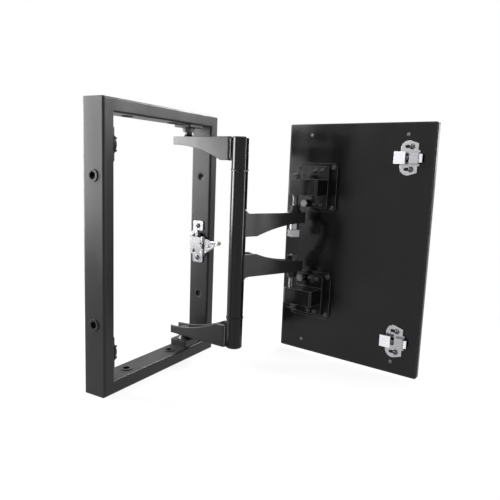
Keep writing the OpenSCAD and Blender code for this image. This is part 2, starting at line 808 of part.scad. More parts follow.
// The latch arm: knuckles, a tapering tongue with a folded lower lip, and the rod of its ball tip
module tongue_outline() {
    rod_root = [ball_z, arm_rod_l - latch_reach];
    polygon([arm_low_root, arm_low_tip, [ball_z, arm_low_tip[1]], rod_root, arm_top_root]);
}
module latch_arm() {
    knuckle_at = latch_knuckle_z - latch_knuckle_h - face_gap;
    half_h = knuckle_at + latch_knuckle_h/2;
    lip_run = arm_low_tip - arm_low_root;
    color([0.75, 0.75, 0.76]) on_latch() translate([latch_axis_x, latch_axis_y, 0]) difference() {
        union() {
            translate([0, 0, latch_hinge_z]) {
                for (z = [-1, 1]) translate([0, 0, z*knuckle_at - latch_knuckle_h/2])
                    cylinder(d = knuckle_d, h = latch_knuckle_h);
                translate([-arm_plate_t/2, arm_flare_y - eps, -half_h])
                    cube([arm_plate_t, -arm_flare_y, 2*half_h]);
            }
            rotate([0, -90, 0]) {
                linear_extrude(arm_plate_t, center = true) tongue_outline();
                linear_extrude(arm_lip_w, center = true) translate(arm_low_root)
                    rotate(atan2(lip_run[1], lip_run[0])) translate([arm_lip_t, -arm_lip_t/2])
                        square([norm(lip_run), arm_lip_t]);
                translate([latch_hinge_z, -2*knuckle_d + arm_rod_d, 0])
                    cylinder(d = small_screw_d, h = arm_plate_t);
            }
            translate([0, arm_rod_l - latch_reach, ball_z]) rotate([90, 0, 0])
                cylinder(d = arm_rod_d, h = arm_rod_l - ball_d/4);
        }
        translate([0, 0, latch_hinge_z]) {
            translate([0, 0, -half_h - cut])
                cylinder(d = latch_pin_d + 2*run_gap, h = 2*half_h + 2*cut);
            translate([0, 0, -knuckle_at + latch_knuckle_h/2])
                cylinder(d = knuckle_d + 2*knuckle_seat, h = 2*knuckle_at - latch_knuckle_h);
        }
    }
}
module latch_ball() {
    color([0.75, 0.74, 0.7]) on_latch() translate([latch_axis_x, latch_axis_y - latch_reach, ball_z])
        rotate([-90, 0, 0]) difference() {
            sphere(d = ball_d);
            translate([0, 0, ball_d/4 - seat_gap]) cylinder(d = arm_rod_d + 2*seat_gap, h = ball_d);
        }
}

// Keepers on the closing stile
module keeper() {
    jaw_low = bolt_h/2 + jaw_clear;
    translate([-in_x, keeper_y, strike_z]) {
        difference() {
            translate([0, keeper_d/2, 0]) rotate([0, 90, 0]) linear_extrude(keeper_t)
                rounded_rect(keeper_h, keeper_d, keeper_edge_r);
            for (z = [-1, 1]) translate([-cut, keeper_d/2, z*keeper_hole_z]) rotate([0, 90, 0])
                cylinder(d = small_screw_d + 2*seat_gap, h = keeper_t + 2*cut);
        }
        for (z = [0, 1]) mirror([0, 0, z]) translate([0, jaw_depth, jaw_low]) rotate([90, 0, 0])
            linear_extrude(jaw_depth) polygon([
                [0, 0], [jaw_reach, 0], [jaw_reach, jaw_h/2], [jaw_reach/2, jaw_h], [0, jaw_h + keeper_t]
            ]);
        translate([0, jaw_depth - keeper_t, -jaw_low - cut]) cube([jaw_reach, keeper_t, 2*(jaw_low + cut)]);
    }
}
module upper_keeper() {
    color([0.05, 0.05, 0.05]) at_level(1) keeper();
}
module lower_keeper() {
    color([0.05, 0.05, 0.05]) at_level(-1) keeper();
}
module keeper_screws() {
    color([0.12, 0.12, 0.12]) for (level = [-1, 1], z = [-1, 1]) at_level(level)
        translate([-in_x + keeper_t, keeper_y + keeper_d/2, strike_z + z*keeper_hole_z])
            rotate([0, 90, 0]) screw(small_screw_d, small_head_d, small_head_t, keeper_t);
}

// Spring strikes on the panel
module on_strike() {
    on_panel() translate([hinge_inset - strike_u, back_y, strike_z]) children();
}
// Outline of a strike's base: round ears on the thumb's side, slanted ones on the nose's side, and a window
module strike_outline() {
    side = strike_w/2;
    top = strike_h/2;
    difference() {
        union() {
            intersection() {
                rounded_rect(strike_w, strike_h, side - cut);
                translate([0, -top]) square([side, strike_h]);
            }
            polygon([
                [bridge_x, strike_wing], [-side, strike_wing], [-side, top - strike_shoulder], [eps, top],
                [eps, -top], [-side, strike_shoulder - top], [-side, -strike_wing], [bridge_x, -strike_wing]
            ]);
        }
        translate([bridge_x + bridge_w, -bolt_h/2]) square([window_w, bolt_h]);
    }
}
module strike_slot() {
    slot_w = screw_d + 2*seat_gap;
    translate([strike_screw_x, 0]) {
        circle(d = slot_w);
        translate([0, -slot_w/2]) square([strike_slot_l, slot_w]);
        translate([strike_slot_l, 0]) circle(d = slot_w);
    }
}
module strike_plate() {
    inner_h = bolt_h + 2*face_gap;
    bridge_h = inner_h + 2*bridge_wall;
    inner_n = bolt_n + bolt_t + face_gap;
    on_strike() difference() {
        union() {
            rotate([-90, 0, 0]) linear_extrude(strike_t) difference() {
                strike_outline();
                for (z = [-1, 1]) translate([0, z*strike_hole_z]) strike_slot();
            }
            translate([bridge_x, 0, -bridge_h/2]) cube([bridge_w, inner_n + bridge_wall, bridge_h]);
        }
        translate([bridge_x - cut, strike_t, -inner_h/2])
            cube([bridge_w + 2*cut, inner_n - strike_t, inner_h]);
    }
}
module upper_strike_plate() {
    color([0.75, 0.75, 0.76]) at_level(1) strike_plate();
}
module lower_strike_plate() {
    color([0.75, 0.75, 0.76]) at_level(-1) strike_plate();
}
module strike_bolt() {
    riser = thumb_x - thumb_w;
    on_strike() {
        translate([0, 0, -bolt_h/2]) linear_extrude(bolt_h) polygon([
            [nose_x, bolt_n], [stem_x, bolt_n], [stem_x, bolt_n + bolt_t], [nose_x + bolt_t, bolt_n + bolt_t]
        ]);
        translate([0, 0, -stem_h/2]) linear_extrude(stem_h) polygon([
            [stem_x - eps, bolt_n], [riser + thumb_t, bolt_n], [riser + thumb_t, thumb_n], [riser, thumb_n],
            [riser, bolt_n + bolt_t], [stem_x - eps, bolt_n + bolt_t]
        ]);
        translate([riser, thumb_n - thumb_t, -thumb_h/2]) cube([thumb_w, thumb_t, thumb_h]);
    }
}
module upper_strike_bolt() {
    color([0.85, 0.85, 0.86]) at_level(1) strike_bolt();
}
module lower_strike_bolt() {
    color([0.85, 0.85, 0.86]) at_level(-1) strike_bolt();
}
module strike_springs() {
    spring_d = bolt_n - strike_t - face_gap;
    color([0.6, 0.6, 0.6]) for (level = [-1, 1]) at_level(level) on_strike()
        translate([bridge_x, strike_t + spring_d/2, 0]) rotate([0, 90, 0])
            ring(spring_d, spring_d/2, bridge_w);
}
module strike_screws() {
    color([0.8, 0.8, 0.8]) for (level = [-1, 1], z = [-1, 1]) at_level(level) on_strike()
        translate([strike_screw_x, strike_t, z*strike_hole_z]) rotate([-90, 0, 0])
            screw(screw_d, screw_head_d, screw_head_t, strike_t);
}

left_stile();
right_stile();
top_rail();
bottom_rail();
stile_sleeves();
rail_sleeves();
upper_pivot_plate();
lower_pivot_block();
upper_pivot_pin();
lower_pivot_pin();
pivot_lock_nut();
pivot_cones();
latch_plate();
latch_pin();
latch_spring();
latch_screws();
upper_keeper();
lower_keeper();
keeper_screws();
upper_frame_arm();
lower_frame_arm();
pivot_bushes();
upper_post_stub();
lower_post_stub();
post_spindle();
thrust_washers();
post_tube();
post_bushes();
upper_panel_arm();
lower_panel_arm();
panel_tray();
panel_back();
panel_core();
panel_rivets();
upper_hinge_base();
lower_hinge_base();
upper_hinge_block();
lower_hinge_block();
hinge_screws();
flange_bolts();
hinge_adjusters();
upper_hinge_stud();
lower_hinge_stud();
stud_nuts();
block_nuts();
stud_spacers();
stud_collars();
upper_strike_plate();
lower_strike_plate();
upper_strike_bolt();
lower_strike_bolt();
strike_springs();
strike_screws();
latch_arm();
latch_ball();
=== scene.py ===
"""Looks of the concealed access panel: a black painted tube frame, channel arms on a round post,
a gloss black panel, and bright zinc fittings."""

import json
import math

import bmesh
import bpy
from mathutils import Matrix, Vector


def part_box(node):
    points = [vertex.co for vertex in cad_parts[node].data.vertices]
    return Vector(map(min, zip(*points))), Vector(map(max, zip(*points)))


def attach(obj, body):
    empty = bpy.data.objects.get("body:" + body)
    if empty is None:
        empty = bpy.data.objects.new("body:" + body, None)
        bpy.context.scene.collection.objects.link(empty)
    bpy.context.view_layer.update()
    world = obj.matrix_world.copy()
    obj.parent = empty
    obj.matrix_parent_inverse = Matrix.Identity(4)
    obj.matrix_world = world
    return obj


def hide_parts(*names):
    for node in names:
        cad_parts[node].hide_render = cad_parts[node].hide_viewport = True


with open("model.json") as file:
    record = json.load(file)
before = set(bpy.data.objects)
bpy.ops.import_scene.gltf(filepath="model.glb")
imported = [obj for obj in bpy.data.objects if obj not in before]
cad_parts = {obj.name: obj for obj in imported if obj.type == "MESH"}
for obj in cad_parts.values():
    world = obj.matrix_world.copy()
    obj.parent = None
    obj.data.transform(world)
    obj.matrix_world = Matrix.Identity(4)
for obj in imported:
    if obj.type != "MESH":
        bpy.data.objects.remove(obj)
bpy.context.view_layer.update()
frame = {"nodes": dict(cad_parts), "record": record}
nodes = frame["nodes"]
record = frame["record"]

MM = 0.001
UP = Vector((0, 0, 1))


# Shader node helpers

def add_math(tree, operation, a, b):
    """A math node's result. a and b are numbers or sockets."""
    node = tree.nodes.new("ShaderNodeMath")
    node.operation = operation
    for i, value in enumerate((a, b)):
        if isinstance(value, (int, float)):
            node.inputs[i].default_value = value
        else:
            tree.links.new(value, node.inputs[i])
    return node.outputs[0]


def add_noise(tree, scale, detail=2, stretch=(1, 1, 1)):
    """Noise over the object's own coordinates. scale is in features per metre, a number or a socket."""
    place = tree.nodes.new("ShaderNodeTexCoord")
    lay = tree.nodes.new("ShaderNodeMapping")
    lay.inputs["Scale"].default_value = stretch
    tree.links.new(place.outputs["Object"], lay.inputs["Vector"])
    noise = tree.nodes.new("ShaderNodeTexNoise")
    noise.inputs["Detail"].default_value = detail
    tree.links.new(lay.outputs["Vector"], noise.inputs["Vector"])
    if isinstance(scale, (int, float)):
        noise.inputs["Scale"].default_value = scale
    else:
        tree.links.new(scale, noise.inputs["Scale"])
    return noise.outputs["Fac"]


def add_step(tree, value, low, high, least=0.0):
    """value mapped from low..high to least..1."""
    node = tree.nodes.new("ShaderNodeMapRange")
    node.inputs["From Min"].default_value = low
    node.inputs["From Max"].default_value = high
    node.inputs["To Min"].default_value = least
    tree.links.new(value, node.inputs["Value"])
    return node.outputs[0]


MIX_SOCKETS = {"RGBA": (6, 7, 2), "VECTOR": (4, 5, 1)}


def add_mix(tree, mask, first, second, kind="RGBA"):
    """A colour or a vector mixed from first to second by mask. Both are tuples or sockets."""
    node = tree.nodes.new("ShaderNodeMix")
    node.data_type = kind
    tree.links.new(mask, node.inputs["Factor"])
    *given, mixed = MIX_SOCKETS[kind]
    for socket, value in zip(given, (first, second)):
        if isinstance(value, tuple):
            node.inputs[socket].default_value = value
        else:
            tree.links.new(value, node.inputs[socket])
    return node.outputs[mixed]


def add_tint(tree, color, amount):
    """A colour made lighter or darker by a factor."""
    node = tree.nodes.new("ShaderNodeVectorMath")
    node.operation = "SCALE"
    tree.links.new(color, node.inputs[0])
    node.inputs["Scale"].default_value = amount
    return node.outputs[0]


# Camera, lamps and backdrop

def add_camera():
    """The photograph's view, with its focal length for a square picture."""
    data = bpy.data.cameras.new("camera")
    data.sensor_width = 36
    data.lens = 37.68
    camera = bpy.data.objects.new("camera", data)
    right = Vector((0.50433, -0.86271, 0.03829))
    down = Vector((-0.11218, -0.10941, -0.98773))
    ahead = Vector((0.85624, 0.49380, -0.15195))
    place = Vector((-645.91, -544.54, 331.02)) * MM
    turn = Matrix((right, -down, -ahead)).transposed().to_4x4()
    camera.matrix_world = Matrix.Translation(place) @ turn
    bpy.context.collection.objects.link(camera)
    bpy.context.scene.camera = camera


def add_softbox(name, place, target, width, height, watts):
    """A soft rectangular lamp at place, turned to target, all in millimetres."""
    data = bpy.data.lights.new(name, "AREA")
    data.shape = "RECTANGLE"
    data.size = width * MM
    data.size_y = height * MM
    data.energy = watts
    lamp = bpy.data.objects.new(name, data)
    place, target = Vector(place) * MM, Vector(target) * MM
    lamp.location = place
    lamp.rotation_euler = (target - place).to_track_quat("-Z", "Y").to_euler()
    bpy.context.collection.objects.link(lamp)


def seen_rays(tree):
    """A mask of the rays that show the backdrop itself: the camera's, mirrored and refracted ones."""
    path = tree.nodes.new("ShaderNodeLightPath")
    mask = path.outputs["Is Camera Ray"]
    for ray in ("Is Glossy Ray", "Is Transmission Ray"):
        mask = add_math(tree, "MAXIMUM", mask, path.outputs[ray])
    return mask


def set_world():
    """White where it is seen, and a dim grey as light."""
    world = bpy.data.worlds.new("studio")
    world.use_nodes = True
    tree = world.node_tree
    tree.nodes.clear()
    dim = tree.nodes.new("ShaderNodeBackground")
    dim.inputs["Color"].default_value = (0.26, 0.26, 0.265, 1)
    white = tree.nodes.new("ShaderNodeBackground")
    white.inputs["Color"].default_value = (1, 1, 1, 1)
    mix = tree.nodes.new("ShaderNodeMixShader")
    tree.links.new(seen_rays(tree), mix.inputs["Fac"])
    tree.links.new(dim.outputs[0], mix.inputs[1])
    tree.links.new(white.outputs[0], mix.inputs[2])
    out = tree.nodes.new("ShaderNodeOutputWorld")
    tree.links.new(mix.outputs[0], out.inputs["Surface"])
    bpy.context.scene.world = world


def add_floor():
    """A pale floor under the frame, white to the eye but for a faint shadow near the object."""
    half_size, drop = 4.0, 0.5 * MM
    near, far, near_white = 0.3, 0.9, 0.88
    shape = bmesh.new()
    bmesh.ops.create_grid(shape, x_segments=1, y_segments=1, size=half_size)
    bmesh.ops.translate(shape, verts=shape.verts, vec=(0, 0, -drop))
    mesh = bpy.data.meshes.new("floor")
    shape.to_mesh(mesh)
    shape.free()
    floor = bpy.data.objects.new("floor", mesh)
    bpy.context.collection.objects.link(floor)
    paint = bpy.data.materials.new("floor_pale")
    paint.use_nodes = True
    tree = paint.node_tree
    tree.nodes.clear()
    matt = tree.nodes.new("ShaderNodeBsdfDiffuse")
    matt.inputs["Color"].default_value = (0.72, 0.72, 0.72, 1)
    white = tree.nodes.new("ShaderNodeEmission")
    white.inputs["Color"].default_value = (1, 1, 1, 1)
    place = tree.nodes.new("ShaderNodeTexCoord")
    away = tree.nodes.new("ShaderNodeVectorMath")
    away.operation = "LENGTH"
    tree.links.new(place.outputs["Object"], away.inputs[0])
    whiteness = add_step(tree, away.outputs["Value"], near, far, near_white)
    mix = tree.nodes.new("ShaderNodeMixShader")
    tree.links.new(add_math(tree, "MULTIPLY", seen_rays(tree), whiteness), mix.inputs["Fac"])
    tree.links.new(matt.outputs[0], mix.inputs[1])
    tree.links.new(white.outputs[0], mix.inputs[2])
    out = tree.nodes.new("ShaderNodeOutputMaterial")
    tree.links.new(mix.outputs[0], out.inputs["Surface"])
    mesh.materials.append(paint)


add_camera()
set_world()
add_floor()
add_softbox("softbox_left", (-330, 600, 510), (100, -80, 290), 400, 740, 18)
add_softbox("strip_back", (-235, 560, 430), (66, -109, 230), 60, 700, 4)
add_softbox("softbox_top", (-100, -350, 1250), (60, -150, 200), 900, 900, 6)
add_softbox("strip_front", (390, -1050, 420), (66, -109, 230), 110, 800, 5.4)
add_softbox("softbox_front", (1060, -1040, 550), (0, -20, 400), 400, 400, 7)
add_softbox("softbox_right", (1000, 250, 700), (200, -200, 200), 500, 700, 5)
add_softbox("softbox_sill", (800, -200, 860), (0, -20, 20), 360, 360, 14)


# Shared surface effects

def new_group(name, inputs, outputs):
    """An empty shader node group. inputs maps a socket to its default, outputs to its type."""
    group = bpy.data.node_groups.new(name, "ShaderNodeTree")
    for socket, value in inputs.items():
        kind = "NodeSocketColor" if isinstance(value, tuple) else "NodeSocketFloat"
        group.interface.new_socket(socket, in_out="INPUT", socket_type=kind).default_value = value
    for socket, kind in outputs.items():
        group.interface.new_socket(socket, in_out="OUTPUT", socket_type="NodeSocket" + kind)
    return group, group.nodes.new("NodeGroupInput").outputs, group.nodes.new("NodeGroupOutput").inputs


def make_sprayed_paint():
    """Sprayed paint: cloudy tone, wiped smudges, dust nibs and orange peel."""
    group, given, made = new_group(
        "sprayed_paint",
        {"Tone": (0.03, 0.03, 0.03, 1), "Roughness": 0.4, "Peel": 700.0, "Smudge": 0.1},
        {"Color": "Color", "Roughness": "Float", "Height": "Float"})
    cloud = add_step(group, add_noise(group, 16, detail=5), 0.3, 0.7)
    nibs = add_step(group, add_noise(group, 1500, detail=1), 0.74, 0.8)
    wipes = add_step(group, add_noise(group, 34, detail=4, stretch=(1, 1, 0.25)), 0.42, 0.72)
    darker, lighter = (add_tint(group, given["Tone"], amount) for amount in (0.82, 1.2))
    tone = add_mix(group, cloud, darker, lighter)
    tone = add_mix(group, add_math(group, "MULTIPLY", nibs, 0.05), tone, (0.4, 0.4, 0.4, 1))
    smudge = add_math(group, "MULTIPLY", wipes, given["Smudge"])
    rough = add_math(group, "ADD", given["Roughness"], smudge)
    bumps = add_math(group, "MULTIPLY", nibs, 0.6)
    peel = add_math(group, "ADD", add_noise(group, given["Peel"]), bumps)
    group.links.new(tone, made["Color"])
    group.links.new(rough, made["Roughness"])
    group.links.new(peel, made["Height"])
    return group


def make_rounded_edge():
    """Softly rounded edges: their normal, a mask of the upright ones, and a broken mask along them,
    which the finishes lighten as wear, and black paint also as a painted highlight.
    """
    group, given, made = new_group("rounded_edge", {"Radius": 0.0008, "Wear": 0.3},
                                   {"Normal": "Vector", "Upright": "Float", "Mask": "Float"})
    bevel = group.nodes.new("ShaderNodeBevel")
    bevel.samples = 6
    group.links.new(given["Radius"], bevel.inputs["Radius"])
    flat = group.nodes.new("ShaderNodeNewGeometry")
    along = group.nodes.new("ShaderNodeVectorMath")
    along.operation = "DOT_PRODUCT"
    group.links.new(bevel.outputs["Normal"], along.inputs[0])
    group.links.new(flat.outputs["Normal"], along.inputs[1])
    edge = add_step(group, add_math(group, "SUBTRACT", 1.0, along.outputs["Value"]), 0.012, 0.12)
    broken = add_step(group, add_noise(group, 260, detail=4), 0.2, 0.65)
    wear_and_highlight = add_math(group, "MULTIPLY", add_math(group, "MULTIPLY", edge, broken), given["Wear"])
    parts = group.nodes.new("ShaderNodeSeparateXYZ")
    group.links.new(bevel.outputs["Normal"], parts.inputs[0])
    sideways = add_step(group, add_math(group, "ABSOLUTE", parts.outputs["Z"], 0), 0.4, 0.15)
    group.links.new(bevel.outputs["Normal"], made["Normal"])
    group.links.new(add_math(group, "MULTIPLY", edge, sideways), made["Upright"])
    group.links.new(wear_and_highlight, made["Mask"])
    return group


def make_settled_dust():
    """A mask of thin dust on faces that look up."""
    group, given, made = new_group("settled_dust", {"Amount": 0.06}, {"Mask": "Float"})
    surface = group.nodes.new("ShaderNodeNewGeometry")
    parts = group.nodes.new("ShaderNodeSeparateXYZ")
    group.links.new(surface.outputs["Normal"], parts.inputs[0])
    level = add_step(group, parts.outputs["Z"], 0.5, 0.95)
    patchy = add_step(group, add_noise(group, 90, detail=6), 0.3, 0.75)
    dust = add_math(group, "MULTIPLY", add_math(group, "MULTIPLY", level, patchy), given["Amount"])
    group.links.new(dust, made["Mask"])
    return group


def make_rolled_metal():
    """Rolled and plated sheet: fine drawn lines, faint crystals and tarnish clouds."""
    group, given, made = new_group(
        "rolled_metal",
        {"Tone": (0.6, 0.6, 0.6, 1), "Roughness": 0.3, "Grain": 1600.0, "Tarnish": 0.3},
        {"Color": "Color", "Roughness": "Float", "Height": "Float"})
    lines = add_noise(group, given["Grain"], detail=3, stretch=(1, 1, 0.06))
    cloud = add_step(group, add_noise(group, 70, detail=5), 0.4, 0.7)
    place = group.nodes.new("ShaderNodeTexCoord")
    crystal = group.nodes.new("ShaderNodeTexVoronoi")
    crystal.inputs["Scale"].default_value = 420
    group.links.new(place.outputs["Object"], crystal.inputs["Vector"])
    cell = group.nodes.new("ShaderNodeSeparateXYZ")
    group.links.new(crystal.outputs["Color"], cell.inputs[0])
    streak = add_step(group, lines, 0.3, 0.7)
    darker, lighter = (add_tint(group, given["Tone"], amount) for amount in (0.9, 1.06))
    tone = add_mix(group, streak, darker, lighter)
    stain = add_math(group, "MULTIPLY", cloud, given["Tarnish"])
    tone = add_mix(group, stain, tone, add_tint(group, given["Tone"], 0.55))
    glint = add_math(group, "MULTIPLY", add_math(group, "SUBTRACT", cell.outputs["X"], 0.5), 0.08)
    rough = add_math(group, "ADD", add_math(group, "ADD", given["Roughness"], glint),
                     add_math(group, "MULTIPLY", stain, 0.25))
    group.links.new(tone, made["Color"])
    group.links.new(rough, made["Roughness"])
    group.links.new(lines, made["Height"])
    return group


def make_painted_corner_shade():
    """A mask of painted shade, strongest in corners, under heads and along seams, where nearby surfaces
    close a point in.
    """
    group, given, made = new_group("painted_corner_shade", {"Reach": 0.004, "Amount": 0.8}, {"Mask": "Float"})
    shelter = group.nodes.new("ShaderNodeAmbientOcclusion")
    shelter.samples = 8
    group.links.new(given["Reach"], shelter.inputs["Distance"])
    # painted shade: the mask grows where an occlusion test finds nearby surfaces, not where dirt would
    # gather
    deep = add_step(group, add_math(group, "SUBTRACT", 1.0, shelter.outputs["AO"]), 0.15, 0.75)
    speckle = add_math(group, "MULTIPLY", add_noise(group, 300, detail=4), 0.5)
    patchy = add_math(group, "ADD", speckle, 0.65)
    painted_shade = add_math(group, "MULTIPLY", add_math(group, "MULTIPLY", deep, patchy), given["Amount"])
    group.links.new(painted_shade, made["Mask"])
    return group


SPRAYED_PAINT = make_sprayed_paint()
ROUNDED_EDGE = make_rounded_edge()
SETTLED_DUST = make_settled_dust()
ROLLED_METAL = make_rolled_metal()
PAINTED_CORNER_SHADE = make_painted_corner_shade()


# Finishes

def new_material(name):
    """A new material, its node tree and the inputs of its shader."""
    material = bpy.data.materials.new(name)
    material.use_nodes = True
    return material, material.node_tree, material.node_tree.nodes["Principled BSDF"].inputs


def place_group(tree, group, **values):
    """A group's node in a material, with its inputs set by name."""
    node = tree.nodes.new("ShaderNodeGroup")
    node.node_tree = group
    for socket, value in values.items():
        node.inputs[socket].default_value = value
    return node.outputs


def add_bump(tree, height, normal, depth, strength):
    """A normal disturbed by a height. depth is in millimetres."""
    bump = tree.nodes.new("ShaderNodeBump")
    bump.inputs["Distance"].default_value = depth * MM
    bump.inputs["Strength"].default_value = strength
    tree.links.new(height, bump.inputs["Height"])
    tree.links.new(normal, bump.inputs["Normal"])
    return bump.outputs["Normal"]


def ground_mitres(tree):
    """A mask of the frame's corner welds, which are ground flush and painted over."""
    half_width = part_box("bottom_rail")[1][0]
    half_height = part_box("left_stile")[1][2] / 2
    weld_width = 5 * MM
    place = tree.nodes.new("ShaderNodeTexCoord")
    parts = tree.nodes.new("ShaderNodeSeparateXYZ")
    tree.links.new(place.outputs["Object"], parts.inputs[0])
    across = add_math(tree, "SUBTRACT", half_width, add_math(tree, "ABSOLUTE", parts.outputs["X"], 0))
    above = add_math(tree, "SUBTRACT", parts.outputs["Z"], half_height)
    upward = add_math(tree, "SUBTRACT", half_height, add_math(tree, "ABSOLUTE", above, 0))
    away = add_math(tree, "ABSOLUTE", add_math(tree, "SUBTRACT", across, upward), 0)
    return add_step(tree, away, weld_width, 0.8 * weld_width)


def grey(tone):
    """A faintly cool grey."""
    return (tone, tone, tone * 1.04, 1)


def black_paint(name, tone, rough, shine, peel=700.0, depth=0.05, edge_wear_and_highlight=0.2, edge=0.8, dull=0.0,
                dust=0.05, mitred=False):
    """Black paint over steel. shine is the strength of its reflection, edge the edges' radius in
    millimetres, and dull how much rougher the paint is along upright edges. Along broken stretches of
    the edges the paint turns a lighter grey: partly wear, partly a painted highlight. A mitred frame
    shows no edge at its welds."""
    material, tree, surface = new_material(name)
    paint = place_group(tree, SPRAYED_PAINT, Tone=grey(tone), Roughness=rough, Peel=peel, Smudge=0.12)
    rim = place_group(tree, ROUNDED_EDGE, Radius=edge * MM, Wear=edge_wear_and_highlight)
    powder = place_group(tree, SETTLED_DUST, Amount=dust)
    wear_and_highlight, upright, normal = rim["Mask"], rim["Upright"], rim["Normal"]
    if mitred:
        weld = ground_mitres(tree)
        plain = add_math(tree, "SUBTRACT", 1.0, weld)
        wear_and_highlight = add_math(tree, "MULTIPLY", wear_and_highlight, plain)
        upright = add_math(tree, "MULTIPLY", upright, plain)
        flat = tree.nodes.new("ShaderNodeNewGeometry")
        normal = add_mix(tree, weld, normal, flat.outputs["Normal"], kind="VECTOR")
    # painted highlight and wear: broken stretches of the edges turn a lighter grey, standing for the
    # light that rounded edges catch as well as for worn paint
    color = add_mix(tree, wear_and_highlight, paint["Color"], grey(0.22))
    color = add_mix(tree, powder["Mask"], color, grey(0.45))
    tree.links.new(color, surface["Base Color"])
    matt = add_math(tree, "ADD", paint["Roughness"], add_math(tree, "MULTIPLY", upright, dull))
    tree.links.new(matt, surface["Roughness"])
    tree.links.new(add_bump(tree, paint["Height"], normal, depth, 0.35), surface["Normal"])
    surface["Specular IOR Level"].default_value = shine
    return material


def plated_steel(name, tone, rough, grain=1600.0, tarnish=0.3, edge=0.5, shade_amount=0.9):
    """Bright plating with drawn lines, edges polished by handling, and painted shade that darkens its
    corners.
    """
    material, tree, surface = new_material(name)
    metal = place_group(tree, ROLLED_METAL, Tone=grey(tone), Roughness=rough, Grain=grain,
                        Tarnish=tarnish)
    rim = place_group(tree, ROUNDED_EDGE, Radius=edge * MM, Wear=0.6)
    painted_shade = place_group(tree, PAINTED_CORNER_SHADE, Amount=shade_amount)
    color = add_mix(tree, rim["Mask"], metal["Color"], grey(min(1.0, tone * 1.3)))
    # painted shade: the base colour turns nearly black in corners, under heads and along seams
    color = add_mix(tree, painted_shade["Mask"], color, grey(tone * 0.05))
    tree.links.new(color, surface["Base Color"])
    tree.links.new(metal["Roughness"], surface["Roughness"])
    tree.links.new(add_bump(tree, metal["Height"], rim["Normal"], 0.03, 0.3), surface["Normal"])
    surface["Metallic"].default_value = 1
    return material


def dull_plastic(name, tone, rough, tint=1.0):
    """Moulded nylon: fine moulding grain and faint handling marks. tint below 1 makes it cream."""
    material, tree, surface = new_material(name)
    skin = place_group(tree, SPRAYED_PAINT, Tone=(tone, tone * (1 + tint) / 2, tone * tint, 1),
                       Roughness=rough, Peel=2400.0, Smudge=0.15)
    rim = place_group(tree, ROUNDED_EDGE, Radius=0.4 * MM, Wear=0.1)
    color = add_mix(tree, rim["Mask"], skin["Color"], grey(min(1.0, tone * 1.5)))
    tree.links.new(color, surface["Base Color"])
    tree.links.new(skin["Roughness"], surface["Roughness"])
    tree.links.new(add_bump(tree, skin["Height"], rim["Normal"], 0.04, 0.3), surface["Normal"])
    return material


def sintered_bronze(name):
    """Porous bronze of the bushes, darkened by oil."""
    material, tree, surface = new_material(name)
    metal = place_group(tree, ROLLED_METAL, Tone=(0.45, 0.30, 0.14, 1), Roughness=0.42, Grain=2600.0,
                        Tarnish=0.5)
    pores = add_step(tree, add_noise(tree, 2200), 0.55, 0.68)
    color = add_mix(tree, pores, metal["Color"], (0.1, 0.065, 0.03, 1))
    rim = place_group(tree, ROUNDED_EDGE, Radius=0.3 * MM, Wear=0.2)
    tree.links.new(color, surface["Base Color"])
    tree.links.new(metal["Roughness"], surface["Roughness"])
    tree.links.new(add_bump(tree, pores, rim["Normal"], 0.05, 0.3), surface["Normal"])
    surface["Metallic"].default_value = 1
    return material


def fibre_board(name):
    """Pale pressed board of the panel's hidden core."""
    material, tree, surface = new_material(name)
    fibres = add_noise(tree, 420, detail=6, stretch=(1, 1, 0.3))
    strands = add_step(tree, fibres, 0.3, 0.7)
    color = add_mix(tree, strands, (0.44, 0.39, 0.31, 1), (0.62, 0.58, 0.5, 1))
    rim = place_group(tree, ROUNDED_EDGE, Radius=0.5 * MM, Wear=0.1)
    tree.links.new(color, surface["Base Color"])
    rough = add_math(tree, "ADD", add_math(tree, "MULTIPLY", fibres, 0.2), 0.7)
    tree.links.new(rough, surface["Roughness"])
    tree.links.new(add_bump(tree, fibres, rim["Normal"], 0.2, 0.4), surface["Normal"])
    return material


